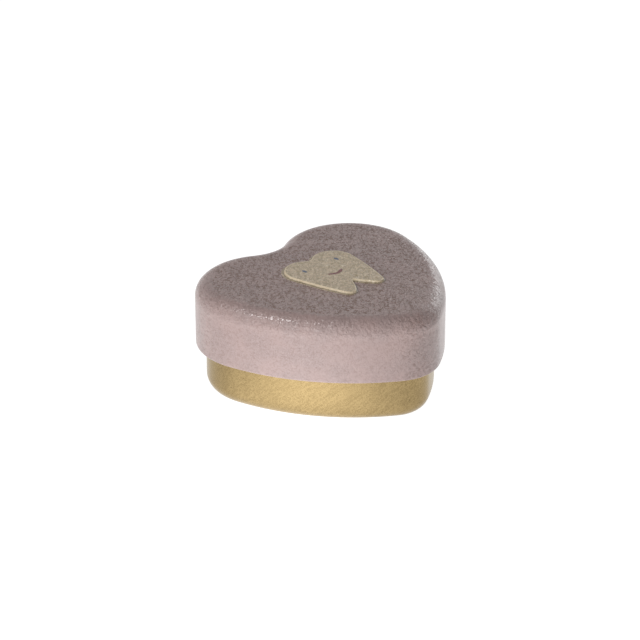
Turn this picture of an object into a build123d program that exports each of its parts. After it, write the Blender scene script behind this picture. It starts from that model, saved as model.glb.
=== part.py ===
"""Heart-shaped trinket tin: a drawn base tray and a slip-over lid with an embossed tooth.

Two pieces of drawn tinplate. The base tray has a rolled standing edge and a rim curled outward.
The lid slips over it, has a rim curled inward, and rests with its rounded corner on the tray's rim.
Millimetres. +Z is up, the heart's point lies towards -Y, and the origin is at the centre of the foot.
"""

import os
from math import atan2, cos, degrees, hypot, pi, sin, sqrt

from build123d import *

# Sheet and overall size
SHEET = 0.3
WIDTH = 60.0  # across the lid's two lobes
PANEL_TOP = 26.7  # the flat top of the lid, without the emboss

# Heart: arcs that touch each other, centres measured from the line through the two lobe centres
LOBE_CENTRE_X = 13.4
LOBE_RADIUS = WIDTH / 2 - LOBE_CENTRE_X
NOTCH_RADIUS = 9.9
SIDE_RADIUS = 52.0
POINT_RADIUS = 11.3
POINT_CENTRE_Y = -27.3

# Lid
LID_CORNER = 3.7
LID_RIM_Z = 11.2  # lowest point of the lid's curled rim
LID_CURL = 0.5  # outer radius of the inward curl

# Base tray
TRAY_INSET = 2.4  # the tray's wall stands this far inside the lid's wall
TRAY_CORNER = 3.6
TRAY_CURL = 0.65  # outer radius of the outward curl
FOOT_RING = 2.0  # width of the flat ring that the tin stands on
PANEL_LIFT = 0.5  # the tray's bottom panel is pressed up by this much
PANEL_STEP = 0.5  # plan width of the step between ring and panel
LID_SEAT_GAP = 0.15  # play between the tray's rim and the lid's corner

# Embossed tooth: arcs about its own middle line, heights from the same line as the heart's
TOOTH_X = 0.4
TOOTH_HEIGHT = 0.45
TOOTH_SLOPE = 0.25  # plan width of the embossed step
CROWN_CENTRE = (4.4, -3.35)
CROWN_RADIUS = 5.3
DIP_RADIUS = 1.6
TOOTH_SIDE_RADIUS = 80.0
ROOT_CENTRE = (4.4, -17.75)
ROOT_RADIUS = 1.7
ROOT_INNER_RADIUS = 25.0
CROTCH_RADIUS = 0.4
CROTCH_Y = -14.5

# Where the heart's arcs sit in the part's frame: the bounding box is centred on the origin
HEART_TOP = LOBE_RADIUS
HEART_BOTTOM = POINT_CENTRE_Y - POINT_RADIUS
SHIFT_Y = -(HEART_TOP + HEART_BOTTOM) / 2


class Arc:
    """A circle that an outline follows. Convex arcs shrink when the outline is inset, hollow ones grow."""

    def __init__(self, centre, radius, hollow=False):
        self.centre = centre
        self.radius = radius
        self.hollow = hollow

    def at(self, inset):
        return self.radius + inset if self.hollow else self.radius - inset

    def point(self, angle, inset):
        r = self.at(inset)
        return (self.centre[0] + r * cos(angle), self.centre[1] + r * sin(angle))


def away(a, b):
    """Direction from point a to point b, in radians."""
    return atan2(b[1] - a[1], b[0] - a[0])


def crossing(a, ra, b, rb, side):
    """The point ra from a and rb from b, on the given side (+1 left, -1 right) of the line from a to b."""
    d = hypot(b[0] - a[0], b[1] - a[1])
    along = (ra * ra - rb * rb + d * d) / (2 * d)
    off = side * sqrt(ra * ra - along * along)
    ux, uy = (b[0] - a[0]) / d, (b[1] - a[1]) / d
    return (a[0] + along * ux - off * uy, a[1] + along * uy + off * ux)


def notch_between(lobe, radius):
    """The hollow arc on the middle line that touches a lobe arc and its mirror image."""
    rise = sqrt((lobe.radius + radius) ** 2 - lobe.centre[0] ** 2)
    return Arc((0, lobe.centre[1] + rise), radius, hollow=True)


def side_between(upper, lower, radius):
    """The flat convex arc that runs down from one convex arc to another."""
    centre = crossing(upper.centre, radius - upper.radius, lower.centre, radius - lower.radius, -1)
    return Arc(centre, radius)


def heart_arcs():
    """The right half of the heart, from the notch down to the point."""
    lobe = Arc((LOBE_CENTRE_X, 0), LOBE_RADIUS)
    point = Arc((0, POINT_CENTRE_Y), POINT_RADIUS)
    return [notch_between(lobe, NOTCH_RADIUS), lobe, side_between(lobe, point, SIDE_RADIUS), point]


def tooth_arcs():
    """The right half of the tooth, from the dip in the crown down to the gap between the roots."""
    crown = Arc(CROWN_CENTRE, CROWN_RADIUS)
    root = Arc(ROOT_CENTRE, ROOT_RADIUS)
    crotch = Arc((0, CROTCH_Y - CROTCH_RADIUS), CROTCH_RADIUS, hollow=True)
    inner_centre = crossing(
        root.centre,
        ROOT_INNER_RADIUS - root.radius,
        crotch.centre,
        ROOT_INNER_RADIUS + crotch.radius,
        -1,
    )
    side = side_between(crown, root, TOOTH_SIDE_RADIUS)
    return [notch_between(crown, DIP_RADIUS), crown, side, root, Arc(inner_centre, ROOT_INNER_RADIUS), crotch]


def joint_angle(arc, other):
    """Direction from arc's centre to the point where it touches other."""
    if arc.hollow != other.hollow:
        return away(arc.centre, other.centre)
    if arc.radius < other.radius:
        return away(other.centre, arc.centre)
    return away(arc.centre, other.centre)


def spans(arcs):
    """(arc, start angle, turn) for each arc, as the outline is followed. Each turn is under half a circle."""
    found = []
    for i, arc in enumerate(arcs):
        first = joint_angle(arc, arcs[i - 1]) if i else (-pi / 2 if arc.hollow else pi / 2)
        last = joint_angle(arc, arcs[i + 1]) if i + 1 < len(arcs) else (pi / 2 if arc.hollow else -pi / 2)
        turn = (last - first + pi) % (2 * pi) - pi
        found.append((arc, first, turn))
    return found


def outline(arcs, inset, z, x=0.0):
    """The closed face inside the arcs and their mirror images, moved in by inset, at height z."""
    half = []
    for arc, first, turn in spans(arcs):
        start, middle, end = (arc.point(first + turn * share, inset) for share in (0, 0.5, 1))
        half.append(ThreePointArc(start, middle, end))
    whole = half + [edge.mirror(Plane.YZ) for edge in half]
    return Pos(x, SHIFT_Y, z) * make_face(whole)


def rolled(section, arcs):
    """Carries a wall's section round the whole outline. Section points are (inset, height)."""
    pieces = []
    for arc, first, turn in spans(arcs):
        out = Vector(cos(first), sin(first), 0)
        sense = 1 if arc.hollow else -1
        plane = Plane(
            origin=Vector(*arc.centre, 0) + out * arc.radius,
            x_dir=out * sense,
            z_dir=(out * sense).cross(Vector(0, 0, 1)),
        )
        axis = Axis((*arc.centre, 0), (0, 0, 1 if turn > 0 else -1))
        piece = revolve(plane * section, axis, abs(degrees(turn)))
        pieces += [piece, piece.mirror(Plane.YZ)]
    return Pos(0, SHIFT_Y, 0) * (pieces[0] + pieces[1:])


def curl(centre, radius, first, turn):
    """Section of a rim rolled over by 270 degrees: first is the side, in degrees, where it leaves the wall."""
    outer = CenterArc(centre, radius, first, turn)
    inner = CenterArc(centre, radius - SHEET, first, turn)
    return make_face([outer, inner, Line(outer @ 0, inner @ 0), Line(outer @ 1, inner @ 1)])


def bend(centre, radius, first):
    """Section of a quarter bend in the sheet. radius is its outer one."""
    outer = CenterArc(centre, radius, first, 90)
    inner = CenterArc(centre, radius - SHEET, first, 90)
    return make_face([outer, inner, Line(outer @ 0, inner @ 0), Line(outer @ 1, inner @ 1)])


def strip(low, high):
    """Section of a flat or upright stretch of sheet between two corners."""
    (u0, z0), (u1, z1) = low, high
    return Pos((u0 + u1) / 2, (z0 + z1) / 2) * Rectangle(u1 - u0, z1 - z0)


def frustum(arcs, low_inset, low_z, high_inset, high_z, x=0.0):
    """The solid between an outline and the same outline at another inset and height."""
    return loft([outline(arcs, low_inset, low_z, x), outline(arcs, high_inset, high_z, x)], ruled=True)


def make_lid(heart, tooth):
    wall_foot = LID_RIM_Z + LID_CURL
    wall_head = PANEL_TOP - LID_CORNER
    section = (
        bend((LID_CORNER, wall_head), LID_CORNER, 90)
        + strip((0, wall_foot), (SHEET, wall_head))
        + curl((LID_CURL, wall_foot), LID_CURL, 180, 270)
    )
    panel = extrude(outline(heart, LID_CORNER, PANEL_TOP - SHEET), SHEET)
    boss = frustum(tooth, 0, PANEL_TOP, TOOTH_SLOPE, PANEL_TOP + TOOTH_HEIGHT, TOOTH_X)
    # The underside follows the emboss one sheet below it, square to the slope
    slant = hypot(TOOTH_HEIGHT, TOOTH_SLOPE)
    under = SHEET * (slant - TOOTH_SLOPE) / TOOTH_HEIGHT
    pocket = frustum(
        tooth,
        under,
        PANEL_TOP - SHEET,
        under + TOOTH_SLOPE,
        PANEL_TOP - SHEET + TOOTH_HEIGHT,
        TOOTH_X,
    )
    return rolled(section, heart) + panel + boss - pocket


def make_tray(heart):
    ring_out = TRAY_INSET + TRAY_CORNER
    ring_in = ring_out + FOOT_RING
    panel_edge = ring_in + PANEL_STEP
    curl_u = TRAY_INSET + SHEET - TRAY_CURL
    reach = LID_CORNER - SHEET - TRAY_CURL - LID_SEAT_GAP
    curl_z = PANEL_TOP - LID_CORNER + sqrt(reach**2 - (LID_CORNER - curl_u) ** 2)
    # The panel's two faces run parallel, one sheet apart, over the step as well
    slant = hypot(PANEL_LIFT, PANEL_STEP)
    under = SHEET * (slant - PANEL_STEP) / PANEL_LIFT
    section = (
        bend((ring_out, TRAY_CORNER), TRAY_CORNER, 180)
        + strip((TRAY_INSET, TRAY_CORNER), (TRAY_INSET + SHEET, curl_z))
        + curl((curl_u, curl_z), TRAY_CURL, 0, 270)
        + strip((ring_out, 0), (ring_in - under, SHEET))
    )
    panel = extrude(outline(heart, ring_in - under, 0), PANEL_LIFT + SHEET)
    below = frustum(heart, ring_in, 0, panel_edge, PANEL_LIFT)
    above = extrude(outline(heart, ring_in - under, SHEET), PANEL_LIFT) - frustum(
        heart, ring_in - under, SHEET, panel_edge - under, SHEET + PANEL_LIFT
    )
    return rolled(section, heart) + (panel - below - above)


def main():
    heart = heart_arcs()
    tooth = tooth_arcs()
    os.makedirs("parts", exist_ok=True)
    for name, shape in {"lid": make_lid(heart, tooth), "base_tray": make_tray(heart)}.items():
        shape.label = name
        export_step(shape, f"parts/{name}.step")
        box = shape.bounding_box()
        print(name, len(shape.solids()), "solid", round(shape.volume, 1), "mm3", box.min, box.max)


main()
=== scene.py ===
"""Looks of the heart-shaped trinket tin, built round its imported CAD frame.

Metres, +Z up, the heart's point towards -Y. Each half of the tin is one closed sheet: a section of
(inset, height) points carried round the heart's outline, with its flat panel filled in. Inset is the
distance in from the lid's wall. Sizes are in millimetres up to the making of each mesh.
"""

from math import atan2, ceil, cos, hypot, pi, radians, sin, sqrt

import bpy
import numpy as np
from mathutils import Matrix, Vector
from mathutils.geometry import delaunay_2d_cdt


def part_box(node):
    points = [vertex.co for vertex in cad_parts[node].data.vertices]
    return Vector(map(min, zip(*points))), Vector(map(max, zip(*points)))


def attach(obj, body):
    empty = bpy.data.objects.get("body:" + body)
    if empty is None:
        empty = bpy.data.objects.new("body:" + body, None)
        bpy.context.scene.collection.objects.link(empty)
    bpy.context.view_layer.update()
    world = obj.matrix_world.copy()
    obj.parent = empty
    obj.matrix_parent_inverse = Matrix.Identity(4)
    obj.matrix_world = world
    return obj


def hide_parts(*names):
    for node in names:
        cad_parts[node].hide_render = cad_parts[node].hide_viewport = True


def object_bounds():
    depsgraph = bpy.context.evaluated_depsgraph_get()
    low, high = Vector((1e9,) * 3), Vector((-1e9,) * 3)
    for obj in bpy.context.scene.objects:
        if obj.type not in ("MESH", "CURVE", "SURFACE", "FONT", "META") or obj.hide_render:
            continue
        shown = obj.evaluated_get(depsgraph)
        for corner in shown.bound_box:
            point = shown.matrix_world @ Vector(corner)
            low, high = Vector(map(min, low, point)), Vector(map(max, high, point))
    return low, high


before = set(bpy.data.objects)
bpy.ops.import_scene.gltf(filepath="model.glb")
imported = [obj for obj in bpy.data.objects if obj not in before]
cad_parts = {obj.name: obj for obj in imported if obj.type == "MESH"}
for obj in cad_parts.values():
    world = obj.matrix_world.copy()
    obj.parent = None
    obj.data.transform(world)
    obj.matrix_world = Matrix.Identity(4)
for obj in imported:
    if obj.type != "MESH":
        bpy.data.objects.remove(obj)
cad_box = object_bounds()

MM = 0.001

# ---------------------------------------------------------------- sizes

lid_low, lid_high = (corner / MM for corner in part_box("lid"))
tray_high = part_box("base_tray")[1] / MM

SHEET = 0.3
EMBOSS = 0.45  # height of the embossed tooth
PANEL_TOP = lid_high.z - EMBOSS  # the flat top of the lid

# Heart: arcs that touch each other, centres measured from the line through the two lobe centres
LOBE_CENTRE_X = 13.4
LOBE_RADIUS = lid_high.x - LOBE_CENTRE_X
LOBE_LINE_Y = lid_high.y - LOBE_RADIUS
NOTCH_RADIUS = 9.9
SIDE_RADIUS = 52.0
POINT_RADIUS = 11.3
POINT_CENTRE_Y = lid_low.y - LOBE_LINE_Y + POINT_RADIUS

# Lid
LID_CORNER = 3.7
LID_CURL = 0.5  # outer radius of the inward curl
LID_FOOT = lid_low.z + LID_CURL  # where the wall ends and the curl starts

# Base tray
TRAY_CORNER = 3.6
TRAY_CURL = 0.65  # outer radius of the outward curl
TRAY_INSET = lid_high.x - tray_high.x + 2 * TRAY_CURL - SHEET
TRAY_HEAD = tray_high.z - TRAY_CURL  # where the wall ends and the curl starts
FOOT_RING = 2.0  # width of the flat ring that the tin stands on
PANEL_LIFT = 0.5  # the bottom panel is pressed up by this much
PANEL_STEP = 0.5  # plan width of the step between ring and panel
PANEL_RIM = 0.25  # an even band of faces between the step and the panel's middle

# Embossed tooth: arcs about its own middle line, heights from the same line as the heart's
TOOTH_X = 0.4
TOOTH_SLOPE = 0.30  # plan width of the embossed step, with its rounded foot and brow
UNDERSIDE_LAG = 0.6 * SHEET  # the step starts this much further in on the sheet's underside
CROWN_CENTRE = (4.4, -3.35)
CROWN_RADIUS = 5.3
DIP_RADIUS = 1.6
TOOTH_SIDE_RADIUS = 80.0
ROOT_CENTRE = (4.4, -17.75)
ROOT_RADIUS = 1.7
ROOT_INNER_RADIUS = 25.0
CROTCH_RADIUS = 0.4
CROTCH_Y = -14.5

# Print on the tooth
PRINT_SHIFT = 0.35  # the printed tooth lies this far to -X of the embossed one
PRINT_GROWTH = 0.25  # and reaches this far past it all round
EYE_HALF_SIZE = (0.42, 0.78)
EYES = ((-4.7, 7.5), (5.5, 7.5))
SMILE_CENTRE = (0.3, 4.0)
SMILE_RADIUS = 2.3
SMILE_HALF_TURN = 55  # degrees either side of the smile's lowest point
SMILE_HALF_WEIGHT = 0.42

# How finely the meshes are divided
HEART_SPACING = 0.48
TOOTH_SPACING = 0.24
MEASURING_SPACING = 0.03  # of the outline that depths inside the tooth are measured from
GRID_MARGIN = 0.6  # a panel's grid keeps this share of its spacing clear of every outline
EMBOSS_LOOPS = 8
BATCH = 2000  # points measured at a time, to spare memory
BEND_BLUR = 8  # steps along the heart's outline that its bend is averaged over
DEPTH_LIMIT = 3  # depths round the tooth are held beyond this
INSIDE_ONLY = 1  # delaunay_2d_cdt's output type that keeps the triangles inside the boundary
TOLERANCE = 1e-5


# ---------------------------------------------------------------- outlines


class Arc:
    """A circle that an outline follows. Convex arcs shrink when the outline is inset, hollow ones grow."""

    def __init__(self, centre, radius, hollow=False):
        self.centre = centre
        self.radius = radius
        self.hollow = hollow


def away(a, b):
    """Direction from point a to point b, in radians."""
    return atan2(b[1] - a[1], b[0] - a[0])


def crossing(a, ra, b, rb, side):
    """The point ra from a and rb from b, on the given side (+1 left, -1 right) of the line from a to b."""
    d = hypot(b[0] - a[0], b[1] - a[1])
    along = (ra * ra - rb * rb + d * d) / (2 * d)
    off = side * sqrt(ra * ra - along * along)
    ux, uy = (b[0] - a[0]) / d, (b[1] - a[1]) / d
    return (a[0] + along * ux - off * uy, a[1] + along * uy + off * ux)


def notch_between(lobe, radius):
    """The hollow arc on the middle line that touches a lobe arc and its mirror image."""
    rise = sqrt((lobe.radius + radius) ** 2 - lobe.centre[0] ** 2)
    return Arc((0, lobe.centre[1] + rise), radius, hollow=True)


def side_between(upper, lower, radius):
    """The flat convex arc that runs down from one convex arc to another."""
    centre = crossing(upper.centre, radius - upper.radius, lower.centre, radius - lower.radius, -1)
    return Arc(centre, radius)


def heart_arcs():
    """The right half of the heart, from the notch down to the point."""
    lobe = Arc((LOBE_CENTRE_X, 0), LOBE_RADIUS)
    point = Arc((0, POINT_CENTRE_Y), POINT_RADIUS)
    return [notch_between(lobe, NOTCH_RADIUS), lobe, side_between(lobe, point, SIDE_RADIUS), point]


def tooth_arcs():
    """The right half of the tooth, from the dip in the crown down to the gap between the roots."""
    crown = Arc(CROWN_CENTRE, CROWN_RADIUS)
    root = Arc(ROOT_CENTRE, ROOT_RADIUS)
    crotch = Arc((0, CROTCH_Y - CROTCH_RADIUS), CROTCH_RADIUS, hollow=True)
    inner_centre = crossing(
        root.centre,
        ROOT_INNER_RADIUS - root.radius,
        crotch.centre,
        ROOT_INNER_RADIUS + crotch.radius,
        -1,
    )
    side = side_between(crown, root, TOOTH_SIDE_RADIUS)
    return [notch_between(crown, DIP_RADIUS), crown, side, root, Arc(inner_centre, ROOT_INNER_RADIUS), crotch]


def joint_angle(arc, other):
    """Direction from arc's centre to the point where it touches other."""
    if arc.hollow == other.hollow and arc.radius < other.radius:
        return away(other.centre, arc.centre)
    return away(arc.centre, other.centre)


def nearest(places, points):
    """For each point, the index of the place that is nearest to it."""
    found = np.empty(len(points), int)
    for start in range(0, len(points), BATCH):
        gaps = points[start : start + BATCH, None, :] - places[None, :, :]
        found[start : start + BATCH] = np.argmin((gaps**2).sum(2), axis=1)
    return found


class Outline:
    """Evenly spaced points along a closed outline, each with its outward direction and its bend.

    The arcs are the right half, from the middle line at the top to the middle line at the bottom. The
    points run clockwise seen from above. Moving each point in along its own direction insets the
    outline exactly.
    """

    def __init__(self, arcs, spacing, x=0.0):
        places, outs, bends = [], [], []
        for i, arc in enumerate(arcs):
            first = joint_angle(arc, arcs[i - 1]) if i else (-pi / 2 if arc.hollow else pi / 2)
            last = joint_angle(arc, arcs[i + 1]) if i + 1 < len(arcs) else (pi / 2 if arc.hollow else -pi / 2)
            turn = (last - first + pi) % (2 * pi) - pi
            count = max(2, ceil(abs(turn) * arc.radius / spacing))
            sense = -1 if arc.hollow else 1
            ends = count + 1 if arc is arcs[-1] else count
            for step in range(ends):
                angle = first + turn * step / count
                ray = np.array((cos(angle), sin(angle)))
                places.append(np.array(arc.centre) + ray * arc.radius)
                outs.append(ray * sense)
                bends.append(sense / arc.radius)
        flip = np.array((-1, 1))
        places, outs = np.array(places), np.array(outs)
        self.places = np.concatenate((places, places[-2:0:-1] * flip)) + (x, LOBE_LINE_Y)
        self.outs = np.concatenate((outs, outs[-2:0:-1] * flip))
        self.bends = np.concatenate((bends, bends[-2:0:-1]))

    def __len__(self):
        return len(self.places)

    def at(self, inset):
        return self.places - self.outs * inset

    def depth(self, points, inset=0.0):
        """How far each point lies inside the outline at that inset. Points outside have negative depths."""
        line = self.at(inset)
        index = nearest(line, points)
        gap = points - line[index]
        along = -(gap * self.outs[index]).sum(1)
        return np.sign(along) * np.sqrt((gap**2).sum(1))


def smoothed(values, reach):
    """A closed run of values, each averaged with its neighbours by a bell curve of that many steps."""
    steps = np.arange(-3 * reach, 3 * reach + 1)
    weights = np.exp(-0.5 * (steps / reach) ** 2)
    weights /= weights.sum()
    return sum(w * np.roll(values, s) for w, s in zip(weights, steps))


heart = Outline(heart_arcs(), HEART_SPACING)
tooth = Outline(tooth_arcs(), TOOTH_SPACING, TOOTH_X)
tooth_fine = Outline(tooth_arcs(), MEASURING_SPACING, TOOTH_X)


# ---------------------------------------------------------------- sections of the sheet


def bow(centre, radius, first, last, count):
    """Points of a section along an arc. In a section, 0 degrees points in, 180 out and 90 up."""
    turns = np.radians(np.linspace(first, last, count + 1))
    return [(centre[0] + radius * cos(t), centre[1] + radius * sin(t)) for t in turns]


def run(start, end, count):
    """Points of a section strictly between two corners, evenly spaced."""
    shares = np.arange(1, count) / count
    return [(start[0] + (end[0] - start[0]) * s, start[1] + (end[1] - start[1]) * s) for s in shares]


def ease(share):
    """A smooth step from 0 to 1."""
    share = np.clip(share, 0, 1)
    return share * share * (3 - 2 * share)


def pressed_step(start, end, count):
    """Points of a section along a pressed step with a rounded foot and brow, both ends included."""
    shares = np.linspace(0, 1, count + 1)
    return [(start[0] + (end[0] - start[0]) * s, start[1] + (end[1] - start[1]) * ease(s)) for s in shares]


def lid_section():
    """From the top panel's edge, down the outside, round the curl and back up the inside.

    Returns the points and how many of them lie on the printed side.
    """
    head = PANEL_TOP - LID_CORNER
    outside = bow((LID_CORNER, head), LID_CORNER, 90, 180, 16)
    outside += run((0, head), (0, LID_FOOT), 22)
    outside += bow((LID_CURL, LID_FOOT), LID_CURL, 180, 450, 20)
    inside = bow((LID_CURL, LID_FOOT), LID_CURL - SHEET, 450, 180, 12)
    inside += run((SHEET, LID_FOOT), (SHEET, head), 12)
    inside += bow((LID_CORNER, head), LID_CORNER - SHEET, 180, 90, 10)
    return outside + inside, len(outside)


def tray_section():
    """From the bottom panel's edge below, out round the foot ring, up the outside, round the curl and back.

    Returns the points and how many of them lie on the outside.
    """
    ring_out = TRAY_INSET + TRAY_CORNER
    ring_in = ring_out + FOOT_RING
    panel_edge = ring_in + PANEL_STEP
    curl_centre = (TRAY_INSET + SHEET - TRAY_CURL, TRAY_HEAD)
    corner_centre = (ring_out, TRAY_CORNER)
    outside = [(panel_edge + PANEL_RIM, PANEL_LIFT)]
    outside += pressed_step((panel_edge, PANEL_LIFT), (ring_in, 0), 8)
    outside += run((ring_in, 0), (ring_out, 0), 3)
    outside += bow(corner_centre, TRAY_CORNER, 270, 180, 14)
    outside += run((TRAY_INSET, TRAY_CORNER), (TRAY_INSET, TRAY_HEAD), 20)
    outside += bow(curl_centre, TRAY_CURL - SHEET, 0, 270, 14)
    inside = bow(curl_centre, TRAY_CURL, 270, 0, 20)
    inside += run((TRAY_INSET + SHEET, TRAY_HEAD), (TRAY_INSET + SHEET, TRAY_CORNER), 16)
    inside += bow(corner_centre, TRAY_CORNER - SHEET, 180, 270, 10)
    inside += run((ring_out, SHEET), (ring_in, SHEET), 3)
    inside += pressed_step((ring_in, SHEET), (panel_edge, SHEET + PANEL_LIFT), 8)
    inside.append((panel_edge + PANEL_RIM, SHEET + PANEL_LIFT))
    return outside + inside, len(outside)


# ---------------------------------------------------------------- sheets

OUTSIDE = 0
INSIDE = 1


class Sheet:
    """The mesh of one half of the tin, while it is being put together."""

    def __init__(self, outline, section):
        rings = [np.column_stack((outline.at(inset), np.full(len(outline), z))) for inset, z in section]
        self.points = list(np.concatenate(rings))
        self.faces = []
        self.sides = []  # OUTSIDE or INSIDE for each face
        self.count = len(outline)

    def ring(self, row):
        return list(range(row * self.count, (row + 1) * self.count))

    def band(self, upper, lower, side):
        """Faces between two rings, facing out when upper is the higher ring on the outside of a wall."""
        for i, (a, b) in enumerate(zip(upper, lower)):
            j = (i + 1) % self.count
            self.faces.append((a, upper[j], lower[j], b))
            self.sides.append(side)

    def panel(self, edge, inner, loops, height, side, up):
        """Fills the ring called edge with triangles over the inner points, which stand at height(points).

        loops are runs of inner points, given as index lists, that the triangles' edges must follow.
        """
        rim = np.array([self.points[i][:2] for i in edge])
        plan = np.concatenate((rim, inner))
        shift = len(rim)
        edges = [(shift + a, shift + b) for loop in loops for a, b in zip(loop, loop[1:] + loop[:1])]
        boundary = list(range(len(rim)))
        made, _, triangles, origins, _, _ = delaunay_2d_cdt(
            [Vector(p) for p in plan], edges, [boundary], INSIDE_ONLY, TOLERANCE
        )
        assert len(made) == len(plan)
        names = {}
        heights = height(inner)
        for i, found in enumerate(origins):
            source = found[0]
            if source < shift:
                names[i] = edge[source]
            else:
                names[i] = len(self.points)
                x, y = inner[source - shift]
                self.points.append(np.array((x, y, heights[source - shift])))
        for triangle in triangles:
            corners = [names[i] for i in triangle]
            a, b, c = (self.points[i] for i in corners)
            upward = (b[0] - a[0]) * (c[1] - a[1]) - (b[1] - a[1]) * (c[0] - a[0]) > 0
            self.faces.append(tuple(corners if upward == up else corners[::-1]))
            self.sides.append(side)

    def finished(self, name, materials, attributes):
        """The sheet as a Blender object in metres."""
        mesh = bpy.data.meshes.new(name)
        mesh.from_pydata([tuple(p * MM) for p in self.points], [], self.faces)
        for material in materials:
            mesh.materials.append(material)
        mesh.polygons.foreach_set("material_index", self.sides)
        mesh.polygons.foreach_set("use_smooth", [True] * len(mesh.polygons))
        for label, values in attributes.items():
            made = mesh.attributes.new(label, "FLOAT", "POINT")
            made.data.foreach_set("value", np.asarray(values, np.float32))
        mesh.update()
        assert not mesh.validate()
        piece = bpy.data.objects.new(name, mesh)
        bpy.context.scene.collection.objects.link(piece)
        return piece


def honeycomb(spacing, inset):
    """Points of a triangular grid over the heart, clear of its outline at that inset."""
    row_height = spacing * sqrt(3) / 2
    ys = np.arange(lid_low.y, lid_high.y, row_height)
    xs = np.arange(lid_low.x, lid_high.x, spacing)
    grid = np.array([(x + (row % 2) * spacing / 2, y) for row, y in enumerate(ys) for x in xs])
    return grid[heart.depth(grid, inset) > spacing * GRID_MARGIN]


def level(height):
    """The height function of a flat panel."""
    return lambda points: np.full(len(points), height)


def embossed(base, lag):
    """The height function of the lid's panel, whose step starts lag inside the tooth's outline."""
    return lambda points: base + EMBOSS * ease((tooth_fine.depth(points) - lag) / TOOTH_SLOPE)


def lid_panel_points(coarse, fine, reach):
    """Inner points of the lid's panel: loops along the embossed step, a fine grid over the tooth and within
    reach of it, and a coarse grid beyond."""
    loops, runs, total = [], [], 0
    for share in np.linspace(0, 1, EMBOSS_LOOPS):
        loop = tooth.at(TOOTH_SLOPE * share)
        runs.append(loop)
        loops.append(list(range(total, total + len(loop))))
        total += len(loop)
    margin = fine * GRID_MARGIN
    for spacing, near in ((coarse, False), (fine, True)):
        grid = honeycomb(spacing, LID_CORNER)
        depths = tooth_fine.depth(grid)
        clear_of_step = (depths < -margin) | (depths > TOOTH_SLOPE + margin)
        is_near = depths > -reach
        runs.append(grid[clear_of_step & (is_near == near)])
    return np.concatenate(runs), loops


def bend_of_points(points):
    """How sharply the heart's outline bends nearest each point, 0 on its flat sides and 1 at its point."""
    bends = smoothed(np.maximum(heart.bends, 0), BEND_BLUR)
    share = np.clip((bends - 1 / SIDE_RADIUS) / (1 / POINT_RADIUS - 1 / SIDE_RADIUS), 0, 1)
    return share[nearest(heart.places, points)]


def make_lid(materials):
    section, printed = lid_section()
    sheet = Sheet(heart, section)
    for row in range(len(section) - 1):
        sheet.band(sheet.ring(row), sheet.ring(row + 1), OUTSIDE if row < printed - 1 else INSIDE)
    top, under = sheet.ring(0), sheet.ring(len(section) - 1)
    inner, loops = lid_panel_points(coarse=0.6, fine=0.27, reach=1.6)
    sheet.panel(top, inner, loops, embossed(PANEL_TOP, 0), OUTSIDE, True)
    inner, loops = lid_panel_points(coarse=0.9, fine=0.5, reach=0.8)
    sheet.panel(under, inner, loops, embossed(PANEL_TOP - SHEET, UNDERSIDE_LAG), INSIDE, False)

    # Depths that the lacquer's pattern is drawn from
    plan = np.array(sheet.points)[:, :2]
    printed_depth = tooth_fine.depth(plan + (PRINT_SHIFT, 0)) + PRINT_GROWTH
    attributes = {
        "tooth_print": np.clip(printed_depth, -DEPTH_LIMIT, DEPTH_LIMIT),
        "tooth_rise": np.clip(tooth_fine.depth(plan), -DEPTH_LIMIT, DEPTH_LIMIT),
        "edge_inset": np.clip(heart.depth(plan), 0, 2 * LID_CORNER),
        "bend": bend_of_points(plan),
    }
    return sheet.finished("lid_sheet", materials, attributes)


def make_tray(materials):
    section, outside = tray_section()
    sheet = Sheet(heart, section)
    for row in range(len(section) - 1):
        sheet.band(sheet.ring(row + 1), sheet.ring(row), OUTSIDE if row < outside - 1 else INSIDE)
    below, above = sheet.ring(0), sheet.ring(len(section) - 1)
    grid = honeycomb(1.0, TRAY_INSET + TRAY_CORNER + FOOT_RING + PANEL_STEP + PANEL_RIM)
    sheet.panel(below, grid, [], level(PANEL_LIFT), OUTSIDE, False)
    sheet.panel(above, grid, [], level(PANEL_LIFT + SHEET), INSIDE, True)
    return sheet.finished("tray_sheet", materials, {})


# ---------------------------------------------------------------- materials

MAUVE = (0.352, 0.258, 0.246)
MAUVE_GRAIN = (0.424, 0.316, 0.302)
MAUVE_CLOUD = (0.420, 0.304, 0.288)
# Colour of the pale lines painted as highlights on the wrinkles' lit sides
MAUVE_PAINTED_GLINT = (0.640, 0.500, 0.480)
MAUVE_WRINKLE = (0.160, 0.080, 0.055)

CREAM = (0.54, 0.42, 0.275)
CREAM_GRAIN = (0.75, 0.61, 0.435)
# Colour of the pale lines painted as highlights on the wrinkles' lit sides
CREAM_PAINTED_GLINT = (0.90, 0.80, 0.62)
CREAM_WRINKLE = (0.32, 0.25, 0.13)
# Colour of the painted highlight along the emboss's brow
CREAM_BROW_HIGHLIGHT = (0.94, 0.79, 0.56)
# Colour of the painted shade along the emboss's foot
EMBOSS_FOOT_SHADE = (0.10, 0.075, 0.05)

EYE_BLUE = (0.035, 0.085, 0.170)
SMILE_RED = (0.200, 0.045, 0.045)

GOLD_DEEP = (0.47, 0.338, 0.160)
GOLD_LIGHT = (0.65, 0.475, 0.230)
GOLD_SPECK = (0.10, 0.065, 0.03)

GRAIN_ACROSS = (0.72, -0.69, 0)
GRAIN_ALONG = (0.38, 0.40, 0)  # under 1 long, which draws the lacquer's pattern out along it
ROLLED_ALONG = Vector((0.55, -0.53, 0.64))  # the gold's streaks run this way
THROUGH_WALL = Vector((0.63, 0.65, 0))  # straight into the front left wall
STREAK_SQUEEZE = 0.12


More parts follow.
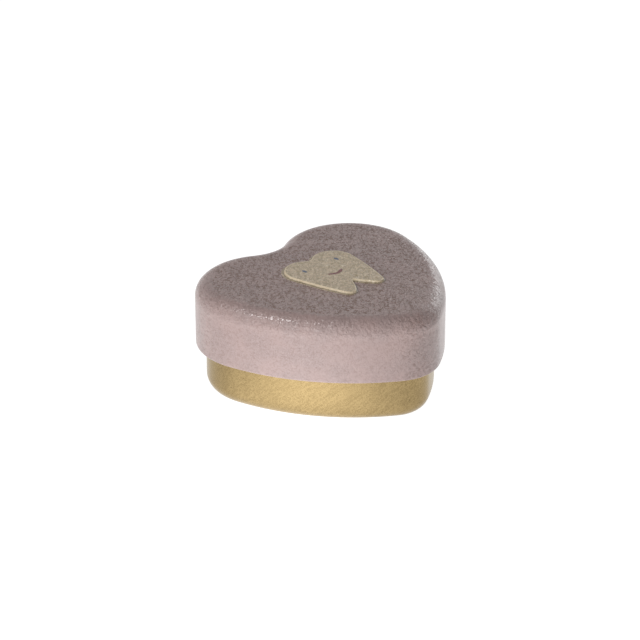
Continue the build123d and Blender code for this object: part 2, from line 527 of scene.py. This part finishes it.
class Nodes:
    """The node tree of a material or world, with short ways to add nodes to it."""

    def __init__(self, owner, shader="Principled BSDF"):
        owner.use_nodes = True
        self.owner = owner
        self.tree = owner.node_tree
        self.shader = self.tree.nodes[shader]

    def link(self, value, socket):
        if isinstance(value, bpy.types.NodeSocket):
            self.tree.links.new(value, socket)
        else:
            socket.default_value = value

    def set(self, name, value):
        """Gives the shader's own input a value or a link."""
        self.link(value, self.shader.inputs[name])

    def add(self, kind, inputs=(), **settings):
        node = self.tree.nodes.new(kind)
        for key, value in settings.items():
            setattr(node, key, value)
        for key, value in dict(inputs).items():
            self.link(value, node.inputs[key])
        return node

    def math(self, operation, a, b=0.0):
        return self.add("ShaderNodeMath", {0: a, 1: b}, operation=operation).outputs[0]

    def times(self, a, b):
        return self.math("MULTIPLY", a, b)

    def vector(self, operation, a, b=(0, 0, 0)):
        node = self.add("ShaderNodeVectorMath", {0: a, 1: b}, operation=operation)
        return node.outputs["Value" if operation in ("LENGTH", "DISTANCE", "DOT_PRODUCT") else "Vector"]

    def point(self, x, y, z):
        return self.add("ShaderNodeCombineXYZ", {0: x, 1: y, 2: z}).outputs[0]

    def attribute(self, name):
        return self.add("ShaderNodeAttribute", attribute_name=name).outputs["Fac"]

    def place(self):
        """The point's own coordinates in the row frame, in millimetres."""
        own = self.add("ShaderNodeTexCoord").outputs["Object"]
        return self.add("ShaderNodeVectorMath", {0: own, "Scale": 1 / MM}, operation="SCALE").outputs[0]

    def noise(self, place, scale, detail=2.0, roughness=0.5, distortion=0.0):
        values = {
            "Vector": place,
            "Scale": scale,
            "Detail": detail,
            "Roughness": roughness,
            "Distortion": distortion,
        }
        return self.add("ShaderNodeTexNoise", values).outputs["Fac"]

    def ramp(self, value, low, high, out_low=0.0, out_high=1.0, smooth=True):
        """value carried from low..high to out_low..out_high, and held at the ends."""
        values = {"Value": value, "From Min": low, "From Max": high, "To Min": out_low, "To Max": out_high}
        kind = "SMOOTHSTEP" if smooth else "LINEAR"
        return self.add("ShaderNodeMapRange", values, interpolation_type=kind).outputs["Result"]

    def mix(self, share, a, b):
        """Colour a, with that share of colour b over it."""
        node = self.add("ShaderNodeMix", data_type="RGBA", clamp_factor=True)
        for value, name in ((share, "Factor_Float"), (a, "A_Color"), (b, "B_Color")):
            socket = next(s for s in node.inputs if s.identifier == name)
            self.link((*value, 1.0) if isinstance(value, tuple) else value, socket)
        return next(s for s in node.outputs if s.identifier == "Result_Color")

    def bump(self, height, distance):
        return self.add("ShaderNodeBump", {"Height": height, "Distance": distance}).outputs["Normal"]


def veins(n, place, scale, width, seed):
    """Wandering lines, 1 on the line and 0 beside it: where a noise passes through its middle value."""
    moved = n.vector("ADD", place, (seed, seed * 1.7, seed * 2.3))
    field = n.noise(moved, scale, 0.6, 0.5, 0.7)
    off_middle = n.math("ABSOLUTE", n.math("SUBTRACT", field, 0.5))
    return n.ramp(off_middle, width, 0.0)


def oval(n, place, centre, half_sizes):
    """Below 1 inside the upright elliptical cylinder."""
    offset = n.vector("SUBTRACT", place, (*centre, 0))
    return n.vector("LENGTH", n.vector("DIVIDE", offset, (*half_sizes, 1e9)))


def drawn_out(n, place, height):
    """The place, shortened along the sheet's grain so that a pattern on it is drawn out that way."""
    across = n.vector("DOT_PRODUCT", place, GRAIN_ACROSS)
    along = n.vector("DOT_PRODUCT", place, GRAIN_ALONG)
    return n.point(across, along, height)


def with_face(n, place, cream):
    """The tooth's cream with two oval eyes and a smile on it."""
    eyes = [n.ramp(oval(n, place, centre, EYE_HALF_SIZE), 1.12, 0.88) for centre in EYES]
    cream = n.mix(n.times(n.math("MAXIMUM", *eyes), 0.95), cream, EYE_BLUE)
    off_line = n.math("ABSOLUTE", n.math("SUBTRACT", oval(n, place, SMILE_CENTRE, (1, 1)), SMILE_RADIUS))
    stroke = n.ramp(off_line, SMILE_HALF_WEIGHT + 0.06, SMILE_HALF_WEIGHT - 0.06)
    chord = SMILE_CENTRE[1] - SMILE_RADIUS * cos(radians(SMILE_HALF_TURN))
    y = n.add("ShaderNodeSeparateXYZ", {0: place}).outputs["Y"]
    stroke = n.times(stroke, n.ramp(y, chord + 0.12, chord - 0.12))
    return n.mix(n.times(stroke, 0.95), cream, SMILE_RED)


def lacquer_relief(n, place, height, on_panel, wrinkle, bend):
    """Height of the lacquer's crumple and wrinkles, weak on the flat sides, strong at the heart's point."""
    on_round = n.ramp(height, PANEL_TOP - 5.5, PANEL_TOP - 3.0)
    crumple = n.noise(place, 0.9, 2.0, 0.5, 0.6)
    crinkle = n.noise(place, 1.9, 1.0, 0.5, 0.5)
    crumple = n.ramp(on_round, 0, 1, crumple, n.times(n.math("ADD", crumple, crinkle), 1.1))
    relief = n.math("SUBTRACT", n.times(crumple, 0.50), n.times(wrinkle, 0.07))
    on_wall = n.ramp(bend, 0.0, 0.9, 0.12, 0.6)
    round_edge = n.ramp(bend, 0.0, 0.9, 0.40, 0.65)
    strength = n.ramp(on_panel, 0, 1, n.ramp(on_round, 0, 1, on_wall, round_edge), 0.5)
    return n.times(relief, strength)


def printed_lacquer():
    """Mauve lacquer with a fine leathery wrinkle, a cream tooth printed on it, and its face."""
    n = Nodes(bpy.data.materials.new("mauve_lacquer"))
    place = n.place()
    height = n.add("ShaderNodeSeparateXYZ", {0: place}).outputs["Z"]
    bend = n.attribute("bend")
    rise = n.attribute("tooth_rise")
    on_panel = n.ramp(height, PANEL_TOP - 0.25, PANEL_TOP - 0.005)
    grain = n.noise(place, 3.4, 2.0, 0.6)
    clouds = n.noise(place, 0.16, 2.0)

    # A broken network of dark wrinkles, full on the panel and thin on the wall, with pale lines between that
    # are painted highlights on the wrinkles' lit sides, stronger on the panel
    drawn = drawn_out(n, place, height)
    broken = n.ramp(n.noise(drawn, 1.4, 1.0), 0.34, 0.52, 0.15, 1.0)
    wide = veins(n, drawn, 0.95, 0.090, 3.0)
    narrow = n.times(veins(n, drawn, 1.5, 0.090, 11.0), 0.9)
    wrinkle = n.times(n.math("MAXIMUM", wide, narrow), broken)
    thin = n.times(n.ramp(wrinkle, 0.35, 1.0), n.ramp(bend, 0.2, 0.9, 0.24, 0.45))
    inside_edge = n.ramp(n.attribute("edge_inset"), LID_CORNER - 1.0, LID_CORNER + 1.2)
    dark = n.ramp(inside_edge, 0, 1, thin, wrinkle)
    # pale marks the thin lines painted as highlights on the wrinkles' lit sides
    pale = n.times(veins(n, drawn, 1.2, 0.05, 23.0), n.math("SUBTRACT", 1.0, wrinkle))
    pale = n.times(pale, n.ramp(on_panel, 0, 1, 0.3, 1.0))

    mauve = n.mix(n.ramp(grain, 0.3, 0.7), MAUVE, MAUVE_GRAIN)
    mauve = n.mix(n.ramp(clouds, 0.35, 0.65), mauve, MAUVE_CLOUD)
    mauve = n.mix(n.times(pale, 0.35), mauve, MAUVE_PAINTED_GLINT)
    mauve = n.mix(n.times(dark, 0.95), mauve, MAUVE_WRINKLE)

    # The tooth, with the same pale lines painted as highlights, and a pale line painted along the emboss's
    # brow as a highlight, since the step is too fine to catch enough light
    cream = n.mix(n.ramp(grain, 0.3, 0.7), CREAM, CREAM_GRAIN)
    cream = n.mix(n.times(pale, 0.70), cream, CREAM_PAINTED_GLINT)
    cream = n.mix(n.times(dark, 0.66), cream, CREAM_WRINKLE)
    # A painted highlight along the emboss's brow
    brow = n.times(n.ramp(rise, 0.06, 0.16), n.ramp(rise, 0.52, 0.40))
    cream = n.mix(n.times(brow, 0.70), cream, CREAM_BROW_HIGHLIGHT)
    cream = with_face(n, place, cream)

    on_tooth = n.ramp(n.attribute("tooth_print"), -0.05, 0.05)
    on_top = n.ramp(height, PANEL_TOP - 1.5, PANEL_TOP - 1.0)
    colour = n.mix(n.times(on_tooth, on_top), mauve, cream)

    # A dark line of painted shade along the emboss's foot, since the step is too fine to cast enough shadow
    foot = n.times(n.ramp(rise, -0.50, -0.10), n.ramp(rise, 0.10, 0.0))
    n.set("Base Color", n.mix(n.times(foot, 0.55), colour, EMBOSS_FOOT_SHADE))

    n.set("Roughness", n.ramp(grain, 0.2, 0.8, 0.34, 0.46, smooth=False))
    n.set("Normal", n.bump(lacquer_relief(n, place, height, on_panel, wrinkle, bend), MM))
    n.set("Coat Weight", 0.5)
    n.set("Coat Roughness", 0.16)
    n.set("Coat Normal", n.bump(n.noise(place, 0.9, 1.5, 0.5, 0.6), 0.27 * MM))
    return n.owner


def gold_lacquer(name, brightness, roughness):
    """Transparent gold lacquer over bright rolled sheet: metal with a fine grain and faint rolled streaks."""
    n = Nodes(bpy.data.materials.new(name))
    place = n.place()
    along = ROLLED_ALONG.normalized()
    across = along.cross(THROUGH_WALL).normalized()
    third = along.cross(across)
    turned = [n.vector("DOT_PRODUCT", place, tuple(axis)) for axis in (along, across, third)]
    streaks = n.noise(n.point(n.times(turned[0], STREAK_SQUEEZE), turned[1], turned[2]), 1.6, 3.0, 0.6)
    grain = n.noise(place, 3.2, 1.5, 0.65)
    clouds = n.noise(place, 0.12, 2.0)
    specks = n.ramp(n.noise(place, 2.4, 0.0), 0.82, 0.86)

    deep = tuple(c * brightness for c in GOLD_DEEP)
    light = tuple(c * brightness for c in GOLD_LIGHT)
    shade = n.math("ADD", n.times(streaks, 0.40), n.times(grain, 0.60))
    gold = n.mix(n.ramp(shade, 0.40, 0.60), deep, light)
    gold = n.mix(n.ramp(clouds, 0.3, 0.7, 0.0, 0.35), gold, deep)
    n.set("Base Color", n.mix(n.times(specks, 0.7), gold, GOLD_SPECK))
    n.set("Metallic", 1.0)
    n.set("Roughness", n.ramp(shade, 0.3, 0.7, roughness - 0.05, roughness + 0.05))
    n.set("Normal", n.bump(shade, 0.012 * MM))
    return n.owner


# ---------------------------------------------------------------- the tin

outside_gold = gold_lacquer("gold_lacquer", 0.62, 0.28)
inside_gold = gold_lacquer("gold_lacquer_inside", 0.68, 0.36)

lid = make_lid([printed_lacquer(), inside_gold])
tray = make_tray([outside_gold, inside_gold])

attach(lid, "lid")
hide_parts("lid")
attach(tray, "base")
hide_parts("base_tray")


# ---------------------------------------------------------------- camera

CAMERA_AZIMUTH = -44.09
CAMERA_ELEVATION = 25.71
CAMERA_DISTANCE = 0.6736
LENS = 163.0
SENSOR = 36.0
AIM_RIGHT = -0.00505  # the camera aims this far to the right of the tin's middle
AIM_UP = 0.00193  # and this far above it


def towards(azimuth, elevation):
    """Unit vector from the object to something seen from it at that azimuth and elevation, in degrees."""
    a, e = radians(azimuth), radians(elevation)
    return Vector((sin(a) * cos(e), -cos(a) * cos(e), sin(e)))


def facing(place, target):
    """Matrix of something that stands at place and points its -Z at target."""
    back = (place - target).normalized()
    right = Vector((0, 0, 1)).cross(back).normalized()
    up = back.cross(right)
    matrix = Matrix((right, up, back)).transposed().to_4x4()
    matrix.translation = place
    return matrix


def make_camera():
    back = towards(CAMERA_AZIMUTH, CAMERA_ELEVATION)
    right = Vector((0, 0, 1)).cross(back).normalized()
    aim = middle + right * AIM_RIGHT + back.cross(right) * AIM_UP
    lens = bpy.data.cameras.new("camera")
    lens.lens = LENS
    lens.sensor_width = SENSOR
    lens.clip_start = 0.01
    lens.clip_end = 20.0
    camera = bpy.data.objects.new("camera", lens)
    camera.matrix_world = facing(aim + back * CAMERA_DISTANCE, aim)
    bpy.context.scene.collection.objects.link(camera)
    bpy.context.scene.camera = camera


middle = (cad_box[0] + cad_box[1]) / 2
make_camera()


# ---------------------------------------------------------------- floor and light

FLOOR_HALF = 4.0  # metres
FLOOR_GLOW = 0.99  # the floor shines like a light table, so that it shows no shadow
POOL_GLOW = 2.15  # and more strongly in a pool on the tin's front left, which the gold reflects
POOL_AZIMUTH = -66
POOL_DISTANCE = 46.0
POOL_CORE = 6.0
POOL_RADIUS = 44.0

HORIZON = 0.40
DARK_SIDE = 0.16  # the horizon's light on the tin's front right
DARK_SIDE_AZIMUTH = 35
CEILING = 0.12
HORIZON_TOP = 27  # degrees of elevation up to which the horizon is full
CEILING_EDGE = 52  # and from which the ceiling takes over


def softbox(name, azimuth, elevation, distance, size, watts, colour=(1, 1, 1)):
    light = bpy.data.lights.new(name, "AREA")
    light.shape = "RECTANGLE"
    light.size, light.size_y = size
    light.energy = watts
    light.color = colour
    lamp = bpy.data.objects.new(name, light)
    lamp.matrix_world = facing(middle + towards(azimuth, elevation) * distance, middle)
    bpy.context.scene.collection.objects.link(lamp)


def make_floor():
    """Plain and pale, like a light table, with a soft pool of more light on the tin's front left."""
    n = Nodes(bpy.data.materials.new("floor"))
    place = n.place()
    n.set("Base Color", n.mix(n.noise(place, 0.02, 3.0), (0.11, 0.11, 0.11), (0.13, 0.13, 0.13)))
    n.set("Roughness", 0.8)
    n.set("Emission Color", (1, 1, 1, 1))
    off_pool = n.vector("DISTANCE", place, tuple(towards(POOL_AZIMUTH, 0) * POOL_DISTANCE))
    n.set("Emission Strength", n.ramp(off_pool, POOL_CORE, POOL_RADIUS, POOL_GLOW, FLOOR_GLOW))
    mesh = bpy.data.meshes.new("floor")
    signs = ((-1, -1), (1, -1), (1, 1), (-1, 1))
    mesh.from_pydata([(x * FLOOR_HALF, y * FLOOR_HALF, 0) for x, y in signs], [], [(0, 1, 2, 3)])
    mesh.materials.append(n.owner)
    floor = bpy.data.objects.new("floor", mesh)
    bpy.context.scene.collection.objects.link(floor)


def make_world():
    """Soft light from all round, with a brighter horizon, a darker front right and a dim ceiling."""
    n = Nodes(bpy.data.worlds.new("studio"), "Background")
    direction = n.add("ShaderNodeTexCoord").outputs["Generated"]
    height = n.add("ShaderNodeSeparateXYZ", {0: direction}).outputs["Z"]
    to_dark_side = n.vector("DOT_PRODUCT", direction, tuple(towards(DARK_SIDE_AZIMUTH, 0)))
    horizon = n.ramp(to_dark_side, 0.3, 0.95, HORIZON, DARK_SIDE)
    edges = sin(radians(HORIZON_TOP)), sin(radians(CEILING_EDGE))
    n.set("Strength", n.ramp(height, *edges, horizon, CEILING))
    n.set("Color", (1, 1, 1, 1))
    bpy.context.scene.world = n.owner


make_floor()
make_world()
softbox("key", azimuth=-68, elevation=18, distance=0.8, size=(0.35, 0.2), watts=1.23)
softbox("upper_left", azimuth=-98, elevation=52, distance=0.7, size=(0.11, 0.11), watts=1.6)
softbox(
    "backdrop",
    azimuth=136,
    elevation=23,
    distance=0.9,
    size=(0.9, 0.25),
    watts=0.33,
    colour=(1.0, 0.88, 0.86),
)
softbox("rim", azimuth=106, elevation=12, distance=0.8, size=(0.50, 0.25), watts=0.9)

bpy.context.scene.view_settings.view_transform = "Standard"
